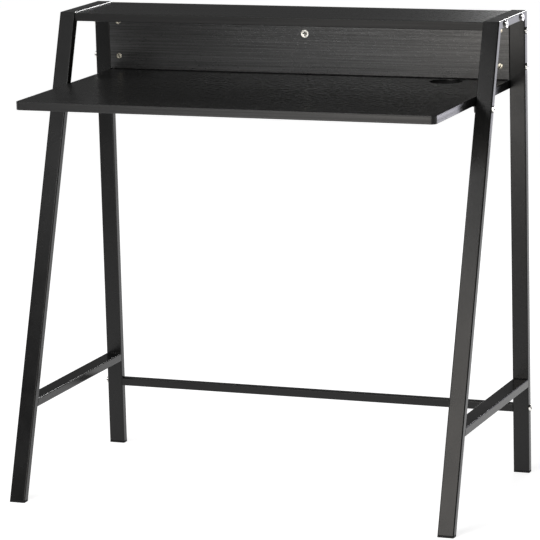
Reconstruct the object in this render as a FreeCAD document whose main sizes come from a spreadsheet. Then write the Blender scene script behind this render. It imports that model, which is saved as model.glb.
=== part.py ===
import FreeCAD, Part
import math
import os
import re

import Sketcher

# A free-standing ladder desk. Two side frames of flat steel tube, each a trapezoid with a
# leaning front leg, carry a desktop, a low back panel and a narrow shelf between them.
# +X is the user's right, +Y the back and +Z up. The origin is on the floor, midway between
# the side frames and midway between the front and rear feet.

# Driving sizes in millimetres, angles in degrees
driving_sizes = {
    # the whole desk
    "overall_width": 840,
    "overall_depth": 460,
    "overall_height": 850,
    # flat tube of the side frames
    "tube_width": 30,
    "tube_depth": 15,
    "tube_wall": 1.2,
    "tube_corner": 2,
    "top_bar_depth": 166,
    "stretcher_height": 161,
    # square tube low between the rear legs, and the threaded plugs in its ends
    "crossbar_side": 15,
    "crossbar_wall": 1,
    "crossbar_corner": 1.5,
    "crossbar_height": 121,
    "insert_length": 16,
    "crossbar_bolt_reach": 12,
    # plastic plugs in the lower ends of the legs
    "foot_flange": 4,
    "foot_stub": 18,
    "foot_wall": 1.6,
    "foot_clearance": 0.2,
    # desktop with its glued edge band and lined cable hole
    "desktop_thickness": 15,
    "desktop_depth": 433,
    "desktop_corner": 9,
    "band_thickness": 1,
    "band_rounding": 0.7,
    "cable_hole": 60,
    "cable_hole_from_end": 108,
    "cable_hole_from_rear": 48,
    "liner_wall": 2,
    "liner_clearance": 0.15,
    "liner_lip_reach": 3,
    "liner_lip_thickness": 1.5,
    "liner_rounding": 0.7,
    "liner_recess": 2,
    # shelf between the top bars and panel between the rear legs
    "shelf_thickness": 15,
    "shelf_drop": 1.5,
    "shelf_rounding": 0.8,
    "panel_thickness": 15,
    "panel_height": 107,
    "panel_lift": 2,
    # machine bolts with button heads
    "bolt_diameter": 6,
    "bolt_clearance": 0.25,
    "bolt_tip": 0.8,
    "bolt_head": 12.5,
    "bolt_head_height": 3.3,
    "bolt_head_rounding": 2.2,
    "bolt_socket": 4,
    "bolt_socket_depth": 2,
    "bolt_past_barrel": 7,
    # barrel nuts let into the boards
    "barrel_diameter": 10.5,
    "barrel_length": 13.4,
    "barrel_clearance": 0.15,
    "barrel_inset": 17,
    "barrel_slot": 1.6,
    "barrel_slot_depth": 1.5,
    "barrel_slot_turn": 60,
    "panel_bolt_from_foot": 23,
    "panel_bolt_from_top": 19,
    "shelf_bolt_from_front": 36,
    "shelf_bolt_from_rear": 34,
    # angle brackets that hold the desktop to the front legs
    "bracket_thickness": 2.5,
    "bracket_width": 28,
    "bracket_height": 14,
    "bracket_reach": 36,
    "bracket_bend": 0.6,
    "bracket_corner": 5,
    "bracket_shift": 8,
    "bracket_bolt_drop": 7,
    "bracket_bolt_past": 0.5,
    "bracket_screw_spacing": 15,
    "bracket_screw_from_leg": 26,
    # pan-head wood screws of the brackets
    "short_screw": 3.5,
    "short_screw_head": 7,
    "short_screw_head_height": 2.2,
    "short_screw_grip": 10,
    # countersunk wood screws that hold the panel on the desktop, and the washers under the panel
    "long_screw": 4,
    "long_screw_length": 40,
    "long_screw_head": 8,
    "long_screw_inset": 90,
    "spacer_diameter": 13,
    "screw_clearance": 0.15,
    "screw_point": 3,
    "screw_recess": 4,
    "screw_recess_width": 1,
    "screw_recess_depth": 1.2,
    # beech dowels that line the boards up
    "dowel_diameter": 8,
    "dowel_length": 30,
    "dowel_in_face": 10,
    "dowel_clearance": 0.1,
    "dowel_chamfer": 0.8,
    "dowel_from_end": 130,
    # cam lock in the panel and its steel dowel in the shelf
    "cam_diameter": 15,
    "cam_depth": 12.5,
    "cam_from_edge": 34,
    "cam_clearance": 0.3,
    "cam_cavity": 8.2,
    "cam_play": 0.4,
    "cam_slot_angle": 270,
    "cam_cross": 8,
    "cam_cross_width": 1.8,
    "cam_cross_depth": 2,
    "cam_rounding": 0.5,
    "cam_dowel_head": 6.4,
    "cam_dowel_head_height": 3.5,
    "cam_dowel_neck": 4,
    "cam_dowel_shank": 6,
    "cam_dowel_grip": 11,
    "cam_dowel_clearance": 0.4,
    # how far a cut runs past the solid that it opens
    "overrun": 2,
}

doc = FreeCAD.newDocument("ladder_desk")
sheet = doc.addObject("Spreadsheet::Sheet", "sizes")
for row, (alias, value) in enumerate(driving_sizes.items(), start=1):
    sheet.set(f"A{row}", alias)
    sheet.set(f"B{row}", str(value))
    sheet.setAlias(f"B{row}", alias)
doc.recompute()

alias_words = re.compile(r"\b(" + "|".join(driving_sizes) + r")\b")
parts = []
cuts = []

# A sketch's curves start with this reach and turn, and their formulas then pull them into place
start_reach = 1
start_turn_share = 0.3


# Parts, sketches and outlines, each tied to formulas in the sheet's words

def bind(item, path, text):
    item.setExpression(path, alias_words.sub(r"sizes.\1", text))


def number_of(alias):
    return float(sheet.get(alias))


def new_part(label, across="0", back="0", up="0", turn=0):
    body = doc.addObject("PartDesign::Body", label)
    body.Label = label
    body.Placement = FreeCAD.Placement(FreeCAD.Vector(), FreeCAD.Rotation(FreeCAD.Vector(0, 0, 1), turn))
    for axis, text in (("x", across), ("y", back), ("z", up)):
        bind(body, f"Placement.Base.{axis}", text)
    parts.append(body)
    return body


def origin_item(body, role):
    return next(item for item in body.Origin.OriginFeatures if item.Role == role)


def sketch_on(body, role, away="0", across="0", up="0"):
    sketch = body.newObject("Sketcher::SketchObject", "Sketch")
    sketch.AttachmentSupport = [(origin_item(body, role), "")]
    sketch.MapMode = "FlatFace"
    for axis, text in (("x", across), ("y", up), ("z", away)):
        bind(sketch, f"AttachmentOffset.Base.{axis}", text)
    return sketch


def pin_point(sketch, curve, end, start, across, up):
    for kind, text, axis, datum in (("DistanceX", across, -2, start.x), ("DistanceY", up, -1, start.y)):
        if text == "0":
            sketch.addConstraint(Sketcher.Constraint("PointOnObject", curve, end, axis))
        else:
            index = sketch.addConstraint(Sketcher.Constraint(kind, -1, 1, curve, end, datum))
            bind(sketch, f"Constraints[{index}]", text)


def draw_outline(sketch, corners):
    count = len(corners)
    angles = [2 * math.pi * (number + start_turn_share) / count for number in range(count)]
    starts = [FreeCAD.Vector(math.cos(angle), math.sin(angle), 0) * start_reach for angle in angles]
    first = sketch.GeometryCount
    for number, start in enumerate(starts):
        sketch.addGeometry(Part.LineSegment(start, starts[(number + 1) % count]), False)
    for number in range(count):
        following = first + (number + 1) % count
        sketch.addConstraint(Sketcher.Constraint("Coincident", first + number, 2, following, 1))
    for number, (across, up) in enumerate(corners):
        pin_point(sketch, first + number, 1, starts[number], across, up)


def draw_circle(sketch, across, up, diameter):
    start = FreeCAD.Vector(start_reach, start_reach, 0)
    curve = sketch.addGeometry(Part.Circle(start, FreeCAD.Vector(0, 0, 1), start_reach), False)
    pin_point(sketch, curve, 3, start, across, up)
    index = sketch.addConstraint(Sketcher.Constraint("Diameter", curve, 2 * start_reach))
    bind(sketch, f"Constraints[{index}]", diameter)


def rectangle(low_across, low_up, high_across, high_up):
    return [(low_across, low_up), (high_across, low_up), (high_across, high_up), (low_across, high_up)]


def turned_bar(across, up, length, width, turn):
    corners = []
    for along_sign, beside_sign in ((-1, -1), (1, -1), (1, 1), (-1, 1)):
        end = f"{along_sign} * ({length}) / 2"
        side = f"{beside_sign} * ({width}) / 2"
        corners.append((
            f"{across} + {end} * cos({turn} * 1 deg) - {side} * sin({turn} * 1 deg)",
            f"{up} + {end} * sin({turn} * 1 deg) + {side} * cos({turn} * 1 deg)",
        ))
    return corners


def cross_shape(across, up, length, width):
    corners = []
    for number, (right, upper) in enumerate(((1, -1), (1, 1), (-1, 1), (-1, -1))):
        wide = (f"{across} + {right} * ({length}) / 2", f"{up} + {upper} * ({width}) / 2")
        inner = (f"{across} + {right} * ({width}) / 2", f"{up} + {upper} * ({width}) / 2")
        tall = (f"{across} + {right} * ({width}) / 2", f"{up} + {upper} * ({length}) / 2")
        corners += [wide, inner, tall] if number % 2 else [tall, inner, wide]
    return corners


def hexagon(across, up, width):
    sides = 6
    reach = f"({width}) / 2 / cos({180 / sides} deg)"
    turns = [360 * corner / sides for corner in range(sides)]
    return [(f"{across} + {reach} * cos({turn} deg)", f"{up} + {reach} * sin({turn} deg)") for turn in turns]


# Features

def extrude(body, kind, sketch, length, both_ways=False, turned=False):
    feature = body.newObject(f"PartDesign::{kind}", kind)
    feature.Profile = sketch
    feature.SideType = "Symmetric" if both_ways else "One side"
    feature.Reversed = turned
    bind(feature, "Length", length)
    if kind == "Pocket":
        cuts.append(feature)
    return feature


def revolve(body, kind, sketch, axis, angle="360", both_ways=False):
    feature = body.newObject(f"PartDesign::{kind}", kind)
    feature.Profile = sketch
    feature.ReferenceAxis = (sketch, [axis])
    feature.Midplane = both_ways
    bind(feature, "Angle", angle)
    if kind == "Groove":
        cuts.append(feature)
    return feature


def dress(body, kind, base, wanted, size):
    # rounds or chamfers those edges of a feature that pass a test
    doc.recompute()
    box = base.Shape.BoundBox
    names = [f"Edge{place}" for place, edge in enumerate(base.Shape.Edges, start=1) if wanted(edge, box)]
    feature = body.newObject(f"PartDesign::{kind}", kind)
    feature.Base = (base, names)
    bind(feature, "Radius" if kind == "Fillet" else "Size", size)
    return feature


def mirror_across(body):
    feature = body.newObject("PartDesign::Mirrored", "Mirrored")
    feature.TransformMode = "Whole shape"
    feature.MirrorPlane = (origin_item(body, "YZ_Plane"), [""])
    body.Tip = feature


def repeat_along(body, role, length, count=2):
    feature = body.newObject("PartDesign::LinearPattern", "LinearPattern")
    feature.TransformMode = "Whole shape"
    feature.Direction = (origin_item(body, role), [""])
    feature.Occurrences = count
    bind(feature, "Length", length)
    body.Tip = feature


# Tests that pick the edges to round

near = 1e-4


def is_line(edge):
    return isinstance(edge.Curve, Part.Line)


def along(direction):
    unit = FreeCAD.Vector(direction).normalize()
    return lambda edge, box: is_line(edge) and abs(unit.dot(edge.tangentAt(edge.FirstParameter))) > 1 - near


def rings_at(axis, limit):
    # whole circles that lie at one end of a round part
    return lambda edge, box: (
        not is_line(edge) and abs(getattr(edge.CenterOfMass, axis) - getattr(box, limit)) < near)


def lines_at(direction, *limits):
    # straight edges along a direction that lie on each named side of the part
    straight = along(direction)
    return lambda edge, box: straight(edge, box) and all(
        abs(getattr(edge.CenterOfMass, limit[0].lower()) - getattr(box, limit)) < near for limit in limits)


# Places worked out from the sizes

half_width = "overall_width / 2"
inner_face = "(overall_width / 2 - tube_width)"
frame_middle = "(overall_width / 2 - tube_width / 2)"
front = "-overall_depth / 2"
rear = "overall_depth / 2"
lean = "(overall_depth - top_bar_depth) / overall_height"
slant = f"sqrt(1 + ({lean}) ^ 2)"
bar_underside = "(overall_height - tube_depth)"
rear_leg_front = f"({rear} - tube_depth)"
rear_leg_middle = f"({rear} - tube_depth / 2)"

shelf_underside = "(overall_height - shelf_drop - shelf_thickness)"
shelf_middle = "(overall_height - shelf_drop - shelf_thickness / 2)"
shelf_front = f"({rear} - top_bar_depth)"
panel_front = f"({rear} - panel_thickness)"
panel_middle = f"({rear} - panel_thickness / 2)"
panel_foot = f"({shelf_underside} - panel_height)"
desktop_height = f"({panel_foot} - panel_lift)"
desktop_underside = f"({desktop_height} - desktop_thickness)"
desktop_front = f"({rear} - desktop_depth)"

shelf_bolt_line = f"({shelf_front} + shelf_bolt_from_front)"
shelf_bolt_gap = "(top_bar_depth - shelf_bolt_from_front - shelf_bolt_from_rear)"
panel_bolt_line = f"({panel_foot} + panel_bolt_from_foot)"
panel_bolt_gap = "(panel_height - panel_bolt_from_foot - panel_bolt_from_top)"
barrel_line = f"({inner_face} - barrel_inset)"
bolt_hole = "bolt_diameter + 2 * bolt_clearance"
bolt_hole_depth = "barrel_inset + bolt_past_barrel + bolt_clearance"
barrel_hole = "barrel_diameter + 2 * barrel_clearance"
dowel_hole = "dowel_diameter + 2 * dowel_clearance"
dowel_line = f"({inner_face} - dowel_from_end)"
long_screw_line = f"({inner_face} - long_screw_inset)"
bracket_bolt_height = f"({desktop_underside} - bracket_bolt_drop)"
bracket_screw_line = f"({inner_face} - bracket_screw_from_leg)"
cam_height = f"({shelf_underside} - cam_from_edge)"
cable_hole_across = f"({inner_face} - cable_hole_from_end)"
cable_hole_back = f"({rear} - cable_hole_from_rear)"


def leg_front(height):
    return f"({front} + ({lean}) * ({height}))"


def leg_back(height):
    return f"({front} + ({lean}) * ({height}) + tube_depth * {slant})"


bracket_bolt_back = f"({front} + ({lean}) * {bracket_bolt_height} + tube_depth * {slant} / 2)"
bracket_middle = f"({bracket_bolt_back} + bracket_shift)"

up_the_leg = (0, number_of("overall_depth") - number_of("top_bar_depth"), number_of("overall_height"))
upright = (0, 0, 1)
front_to_back = (0, 1, 0)
side_to_side = (1, 0, 0)


# Side frames: hollow tubes drawn in side view, mitred at the top and cut to the lean

def hollow_tube(label, across, outline, bore, direction, holes):
    tube = new_part(label, across=across)
    side_view = sketch_on(tube, "YZ_Plane")
    draw_outline(side_view, outline)
    blank = extrude(tube, "Pad", side_view, "tube_width", both_ways=True)
    dress(tube, "Fillet", blank, along(direction), "tube_corner")
    inside = sketch_on(tube, "YZ_Plane")
    draw_outline(inside, bore)
    extrude(tube, "Pocket", inside, "tube_width - 2 * tube_wall", both_ways=True)
    if holes:
        drilling = sketch_on(tube, "YZ_Plane")
        for back, up in holes:
            draw_circle(drilling, back, up, bolt_hole)
        extrude(tube, "Pocket", drilling, "tube_width + 2 * overrun", both_ways=True)


def side_frame(side, across):
    wall = f"tube_wall * {slant}"
    start, below = "foot_flange", "(foot_flange - overrun)"
    top, above = "overall_height", "(overall_height + overrun)"
    hollow_tube(
        f"{side}_front_leg", across,
        [(leg_front(start), start), (leg_back(start), start),
         (leg_back(bar_underside), bar_underside), (leg_front(top), top)],
        [(f"{leg_front(below)} + {wall}", below), (f"{leg_back(below)} - {wall}", below),
         (f"{leg_back(above)} - {wall}", above), (f"{leg_front(above)} + {wall}", above)],
        up_the_leg,
        [(bracket_bolt_back, bracket_bolt_height)],
    )
    hollow_tube(
        f"{side}_rear_leg", across,
        [(rear_leg_front, start), (rear, start), (rear, top), (rear_leg_front, bar_underside)],
        rectangle(f"{rear_leg_front} + tube_wall", below, f"{rear} - tube_wall", above),
        upright,
        [(rear_leg_middle, "crossbar_height"), (panel_middle, panel_bolt_line),
         (panel_middle, f"{panel_bolt_line} + {panel_bolt_gap}")],
    )
    hollow_tube(
        f"{side}_top_bar", across,
        [(leg_front(top), top), (leg_back(bar_underside), bar_underside),
         (rear_leg_front, bar_underside), (rear, top)],
        rectangle(f"{leg_front(top)} - overrun", f"{bar_underside} + tube_wall",
                  f"{rear} + overrun", f"{top} - tube_wall"),
        front_to_back,
        [(shelf_bolt_line, shelf_middle), (f"{shelf_bolt_line} + {shelf_bolt_gap}", shelf_middle)],
    )
    low, high = "stretcher_height", "(stretcher_height + tube_depth)"
    hollow_tube(
        f"{side}_side_stretcher", across,
        [(leg_back(low), low), (rear_leg_front, low), (rear_leg_front, high), (leg_back(high), high)],
        rectangle(f"{leg_back(low)} - overrun", f"{low} + tube_wall",
                  f"{rear_leg_front} + overrun", f"{high} - tube_wall"),
        front_to_back,
        [],
    )


# Feet: a flange under the cut end of the leg and a cupped stub inside it

def foot(label, across, front_line, back_line, stretch, direction):
    plug = new_part(label, across=across)
    top, end, past_end = "foot_flange", "(foot_flange + foot_stub)", "(foot_flange + foot_stub + overrun)"
    flange = sketch_on(plug, "YZ_Plane")
    draw_outline(flange, [(front_line("0"), "0"), (back_line("0"), "0"),
                          (back_line(top), top), (front_line(top), top)])
    blank = extrude(plug, "Pad", flange, "tube_width", both_ways=True)
    dress(plug, "Fillet", blank, along(direction), "tube_corner")
    outside, inside = "(tube_wall + foot_clearance)", "(tube_wall + foot_clearance + foot_wall)"
    for kind, inset, height in (("Pad", outside, end), ("Pocket", inside, past_end)):
        stub = sketch_on(plug, "YZ_Plane")
        reach = f"{inset} * {stretch}"
        draw_outline(stub, [(f"{front_line(top)} + {reach}", top), (f"{back_line(top)} - {reach}", top),
                            (f"{back_line(height)} - {reach}", height),
                            (f"{front_line(height)} + {reach}", height)])
        extrude(plug, kind, stub, f"tube_width - 2 * {inset}", both_ways=True)


# Rear crossbar with a threaded plug in each end

def square_about_crossbar(side):
    reach = f"({side}) / 2"
    return rectangle(f"{rear_leg_middle} - {reach}", f"crossbar_height - {reach}",
                     f"{rear_leg_middle} + {reach}", f"crossbar_height + {reach}")


def rear_crossbar():
    crossbar = new_part("rear_crossbar")
    outside = sketch_on(crossbar, "YZ_Plane")
    draw_outline(outside, square_about_crossbar("crossbar_side"))
    blank = extrude(crossbar, "Pad", outside, f"2 * {inner_face}", both_ways=True)
    dress(crossbar, "Fillet", blank, along(side_to_side), "crossbar_corner")
    inside = sketch_on(crossbar, "YZ_Plane")
    draw_outline(inside, square_about_crossbar("crossbar_side - 2 * crossbar_wall"))
    extrude(crossbar, "Pocket", inside, f"2 * {inner_face} + 2 * overrun", both_ways=True)

    inserts = new_part("crossbar_inserts")
    section = sketch_on(inserts, "YZ_Plane", away=inner_face)
    draw_outline(section, square_about_crossbar("crossbar_side - 2 * crossbar_wall"))
    draw_circle(section, rear_leg_middle, "crossbar_height", bolt_hole)
    extrude(inserts, "Pad", section, "insert_length", turned=True)
    mirror_across(inserts)


# Desktop: a board core, the edge band glued round it and the lining of its cable hole

def desktop_outline(inset):
    return rectangle(f"-({inner_face} - {inset})", f"{desktop_front} + {inset}",
                     f"{inner_face} - {inset}", f"{rear} - {inset}")


def desktop_board():
    board = new_part("desktop", up=desktop_underside)
    outline = sketch_on(board, "XY_Plane")
    draw_outline(outline, desktop_outline("band_thickness"))
    blank = extrude(board, "Pad", outline, "desktop_thickness")
    dress(board, "Fillet", blank, lines_at(upright, "YMin"), "desktop_corner - band_thickness")
    cable_cut = sketch_on(board, "XY_Plane")
    draw_circle(cable_cut, cable_hole_across, cable_hole_back, "cable_hole")
    extrude(board, "Pocket", cable_cut, "desktop_thickness + overrun", turned=True)
    pilots = sketch_on(board, "XY_Plane")
    for sign in (-1, 1):
        for step in (-1, 1):
            draw_circle(pilots, f"{sign} * {bracket_screw_line}",
                        f"{bracket_middle} + {step} * bracket_screw_spacing / 2",
                        "short_screw + 2 * screw_clearance")
    extrude(board, "Pocket", pilots, "short_screw_grip", turned=True)
    doc.recompute()
    centres = sketch_on(board, "XY_Plane")
    for place in (f"-{long_screw_line}", "0", long_screw_line):
        draw_circle(centres, place, panel_middle, "long_screw")
    doc.recompute()
    countersunk = board.newObject("PartDesign::Hole", "Hole")
    countersunk.Profile = centres
    countersunk.Reversed = True
    countersunk.DepthType = "ThroughAll"
    countersunk.HoleCutType = "Countersink"
    countersunk.HoleCutCustomValues = True
    countersunk.HoleCutCountersinkAngle = 90
    bind(countersunk, "Diameter", "long_screw + 2 * screw_clearance")
    bind(countersunk, "HoleCutDiameter", "long_screw_head + 2 * screw_clearance")
    cuts.append(countersunk)


def desktop_band():
    band = new_part("desktop_edge_band", up=desktop_underside)
    outline = sketch_on(band, "XY_Plane")
    draw_outline(outline, desktop_outline("0"))
    extrude(band, "Pad", outline, "desktop_thickness")
    inside = sketch_on(band, "XY_Plane")
    draw_outline(inside, desktop_outline("band_thickness"))
    hollow = extrude(band, "Pocket", inside, "desktop_thickness + overrun", turned=True)
    vertical = along(upright)
    inner = dress(band, "Fillet", hollow,
                  lambda edge, box: vertical(edge, box) and box.YMin + near < edge.CenterOfMass.y < 0,
                  "desktop_corner - band_thickness")
    outer = dress(band, "Fillet", inner, lines_at(upright, "YMin"), "desktop_corner")
    middle_radius = number_of("desktop_corner") - number_of("band_thickness") / 2

    def outer_rim(edge, box):
        place = edge.CenterOfMass
        if box.ZMin + near < place.z < box.ZMax - near:
            return False
        if not is_line(edge):
            return edge.Curve.Radius > middle_radius
        return (abs(place.x) > box.XMax - near or place.y < box.YMin + near or place.y > box.YMax - near)

    dress(band, "Fillet", outer, outer_rim, "band_rounding")


def cable_hole_liner():
    liner = new_part("cable_hole_liner", cable_hole_across, cable_hole_back, desktop_underside)
    section = sketch_on(liner, "XZ_Plane")
    outside = "(cable_hole / 2 - liner_clearance)"
    inside = "(cable_hole / 2 - liner_clearance - liner_wall)"
    lip, under = "(cable_hole / 2 + liner_lip_reach)", "-liner_lip_thickness"
    top = "(desktop_thickness - liner_recess)"
    draw_outline(section, [(inside, under), (lip, under), (lip, "0"), (outside, "0"),
                           (outside, top), (inside, top)])
    ring = revolve(liner, "Revolution", section, "V_Axis")
    dress(liner, "Fillet", ring, rings_at("z", "ZMax"), "liner_rounding")


# Boards drilled for bolts, barrel nuts, dowels and screws

def drill_ends(board, places):
    for sign in (-1, 1):
        drilling = sketch_on(board, "YZ_Plane", away=f"{sign} * {inner_face}")
        for back, up in places:
            draw_circle(drilling, back, up, bolt_hole)
        extrude(board, "Pocket", drilling, bolt_hole_depth, turned=sign < 0)


def top_shelf():
    shelf = new_part("top_shelf", up=shelf_underside)
    outline = sketch_on(shelf, "XY_Plane")
    draw_outline(outline, rectangle(f"-{inner_face}", f"{shelf_front} + band_thickness",
                                    inner_face, f"{rear} - band_thickness"))
    blank = extrude(shelf, "Pad", outline, "shelf_thickness")
    dress(shelf, "Fillet", blank, along(front_to_back), "shelf_rounding")
    bolt_places = [shelf_bolt_line, f"{shelf_bolt_line} + {shelf_bolt_gap}"]
    drill_ends(shelf, [(back, "shelf_thickness / 2") for back in bolt_places])
    barrels = sketch_on(shelf, "XY_Plane")
    dowels = sketch_on(shelf, "XY_Plane")
    for sign in (-1, 1):
        draw_circle(dowels, f"{sign} * {dowel_line}", panel_middle, dowel_hole)
        for back in bolt_places:
            draw_circle(barrels, f"{sign} * {barrel_line}", back, barrel_hole)
    extrude(shelf, "Pocket", barrels, "(shelf_thickness + barrel_length) / 2", turned=True)
    extrude(shelf, "Pocket", dowels, "dowel_in_face", turned=True)
    cam_socket = sketch_on(shelf, "XY_Plane")
    draw_circle(cam_socket, "0", panel_middle, "cam_dowel_shank + 2 * dowel_clearance")
    extrude(shelf, "Pocket", cam_socket, "cam_dowel_grip", turned=True)

    for label, low, high, side in (
        ("shelf_front_band", shelf_front, f"{shelf_front} + band_thickness", "YMin"),
        ("shelf_rear_band", f"{rear} - band_thickness", rear, "YMax"),
    ):
        strip = new_part(label, up=shelf_underside)
        plan = sketch_on(strip, "XY_Plane")
        draw_outline(plan, rectangle(f"-{inner_face}", low, inner_face, high))
        bar = extrude(strip, "Pad", plan, "shelf_thickness")
        dress(strip, "Fillet", bar, lines_at(side_to_side, side), "band_rounding")


def back_panel():
    panel = new_part("back_panel")
    outline = sketch_on(panel, "XZ_Plane", away=f"-({rear})")
    draw_outline(outline, rectangle(f"-{inner_face}", panel_foot, inner_face, shelf_underside))
    extrude(panel, "Pad", outline, "panel_thickness")
    bolt_places = [panel_bolt_line, f"{panel_bolt_line} + {panel_bolt_gap}"]
    drill_ends(panel, [(panel_middle, up) for up in bolt_places])
    barrels = sketch_on(panel, "XZ_Plane", away=f"-{panel_front}")
    dowels = sketch_on(panel, "XY_Plane", away=shelf_underside)
    for sign in (-1, 1):
        for up in bolt_places:
            draw_circle(barrels, f"{sign} * {barrel_line}", up, barrel_hole)
        draw_circle(dowels, f"{sign} * {dowel_line}", panel_middle, dowel_hole)
    extrude(panel, "Pocket", barrels, "(panel_thickness + barrel_length) / 2")
    extrude(panel, "Pocket", dowels, "dowel_length - dowel_in_face")
    screws = sketch_on(panel, "XY_Plane", away=panel_foot)
    for place in (f"-{long_screw_line}", "0", long_screw_line):
        draw_circle(screws, place, panel_middle, "long_screw + 2 * screw_clearance")
    extrude(panel, "Pocket", screws, "long_screw_length - desktop_thickness - panel_lift", turned=True)
    cam_seat = sketch_on(panel, "XZ_Plane", away=f"-{panel_front}")
    draw_circle(cam_seat, "0", cam_height, "cam_diameter + 2 * cam_clearance")
    extrude(panel, "Pocket", cam_seat, "cam_depth + cam_clearance")
    cam_way = sketch_on(panel, "XY_Plane", away=shelf_underside)
    draw_circle(cam_way, "0", panel_middle, "cam_dowel_shank + 2 * cam_dowel_clearance")
    extrude(panel, "Pocket", cam_way, "cam_from_edge")


# Bolts that pass through a side frame from outside, and the nuts that take them

def bolts(label, back, up, tip):
    group = new_part(label)
    section = sketch_on(group, "XY_Plane", away=up, up=back)
    end = f"({half_width} + bolt_head_height)"
    draw_outline(section, [
        (tip, "0"), (tip, "bolt_diameter / 2 - bolt_tip"), (f"{tip} + bolt_tip", "bolt_diameter / 2"),
        (half_width, "bolt_diameter / 2"), (half_width, "bolt_head / 2"), (end, "bolt_head / 2"), (end, "0"),
    ])
    turned = revolve(group, "Revolution", section, "H_Axis")
    dress(group, "Fillet", turned, rings_at("x", "XMax"), "bolt_head_rounding")
    socket = sketch_on(group, "YZ_Plane", away=end)
    draw_outline(socket, hexagon(back, up, "bolt_socket"))
    extrude(group, "Pocket", socket, "bolt_socket_depth")
    mirror_across(group)
    return group


def barrel_nuts(label, role, spot, bolt_spot, start, slot_at, slot_inwards):
    group = new_part(label)
    section = sketch_on(group, role, away=start)
    draw_circle(section, *spot, "barrel_diameter")
    extrude(group, "Pad", section, "barrel_length")
    thread = sketch_on(group, "YZ_Plane", away=barrel_line)
    draw_circle(thread, *bolt_spot, bolt_hole)
    extrude(group, "Pocket", thread, "barrel_diameter + 2 * overrun", both_ways=True)
    slot = sketch_on(group, role, away=slot_at)
    draw_outline(slot, turned_bar(*spot, "barrel_diameter + 2 * overrun", "barrel_slot", "barrel_slot_turn"))
    extrude(group, "Pocket", slot, "barrel_slot_depth", turned=slot_inwards)
    mirror_across(group)
    return group


def board_fasteners():
    past_barrel = f"({barrel_line} - bolt_past_barrel)"
    shelf_bolts = bolts("shelf_bolts", shelf_bolt_line, shelf_middle, past_barrel)
    repeat_along(shelf_bolts, "Y_Axis", shelf_bolt_gap)
    under_shelf = f"({shelf_middle} - barrel_length / 2)"
    shelf_nuts = barrel_nuts("shelf_barrel_nuts", "XY_Plane", (barrel_line, shelf_bolt_line),
                             (shelf_bolt_line, shelf_middle), under_shelf, under_shelf, True)
    repeat_along(shelf_nuts, "Y_Axis", shelf_bolt_gap)
    panel_bolts = bolts("panel_bolts", panel_middle, panel_bolt_line, past_barrel)
    repeat_along(panel_bolts, "Z_Axis", panel_bolt_gap)
    panel_nuts = barrel_nuts("panel_barrel_nuts", "XZ_Plane", (barrel_line, panel_bolt_line),
                             (panel_middle, panel_bolt_line), f"-({panel_middle} + barrel_length / 2)",
                             f"-({panel_middle} - barrel_length / 2)", False)
    repeat_along(panel_nuts, "Z_Axis", panel_bolt_gap)
    bolts("crossbar_bolts", rear_leg_middle, "crossbar_height", f"({inner_face} - crossbar_bolt_reach)")


# Angle brackets under the desktop, with the tapped hole for the leg's bolt near their front end

def bracket(label, sign):
    angle = new_part(label, f"{sign} * {inner_face}", bracket_middle, bracket_bolt_height,
                     turn=180 if sign > 0 else 0)
    section = sketch_on(angle, "XZ_Plane")
    top, under = "bracket_bolt_drop", "bracket_bolt_drop - bracket_thickness"
    draw_outline(section, [
        ("0", top), ("bracket_reach", top), ("bracket_reach", under), ("bracket_thickness", under),
        ("bracket_thickness", f"{top} - bracket_height"), ("0", f"{top} - bracket_height"),
    ])
    blank = extrude(angle, "Pad", section, "bracket_width", both_ways=True)
    crosswise = along(front_to_back)

    def inner_bend(edge, box):
        place = edge.CenterOfMass
        clear = box.XMin + near < place.x < box.XMax - near and box.ZMin + near < place.z < box.ZMax - near
        return clear and crosswise(edge, box)

    bent = dress(angle, "Fillet", blank, inner_bend, "bracket_bend")
    bent = dress(angle, "Fillet", bent, lines_at(front_to_back, "XMin", "ZMax"),
                 "bracket_bend + bracket_thickness")
    ends_up, ends_down = lines_at(upright, "XMax"), lines_at(side_to_side, "ZMin")
    dress(angle, "Fillet", bent, lambda edge, box: ends_up(edge, box) or ends_down(edge, box),
          "bracket_corner")
    bolt_way = sketch_on(angle, "YZ_Plane")
    draw_circle(bolt_way, f"{sign} * bracket_shift", "0", bolt_hole)
    extrude(angle, "Pocket", bolt_way, "2 * bracket_thickness + overrun", both_ways=True)
    screw_ways = sketch_on(angle, "XY_Plane", away="bracket_bolt_drop")
    for step in (-1, 1):
        draw_circle(screw_ways, "bracket_screw_from_leg", f"{step} * bracket_screw_spacing / 2",
                    "short_screw + 2 * screw_clearance")
    extrude(angle, "Pocket", screw_ways, "bracket_thickness + overrun")


def bracket_fasteners():
    bolts("bracket_bolts", bracket_bolt_back, bracket_bolt_height,
          f"({inner_face} - bracket_thickness - bracket_bolt_past)")
    seat = f"({desktop_underside} - bracket_thickness)"
    screws = wood_screws("bracket_screws", bracket_screw_line,
                         f"({bracket_middle} - bracket_screw_spacing / 2)", [
        ("0", f"{seat} - short_screw_head_height"),
        ("short_screw_head / 2", f"{seat} - short_screw_head_height"),
        ("short_screw_head / 2", seat), ("short_screw / 2", seat),
        ("short_screw / 2", f"{desktop_underside} + short_screw_grip - screw_point"),
        ("0", f"{desktop_underside} + short_screw_grip"),
    ])
    mirror_across(screws)
    repeat_along(screws, "Y_Axis", "bracket_screw_spacing")


# Wood screws driven upwards, with a cross recess in the head

def wood_screws(label, across, back, profile):
    group = new_part(label)
    section = sketch_on(group, "XZ_Plane", away=f"-{back}", across=across)
    draw_outline(section, profile)
    revolve(group, "Revolution", section, "V_Axis")
    recess = sketch_on(group, "XY_Plane", away=profile[0][1])
    draw_outline(recess, cross_shape(across, back, "screw_recess", "screw_recess_width"))
    extrude(group, "Pocket", recess, "screw_recess_depth", turned=True)
    return group


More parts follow.
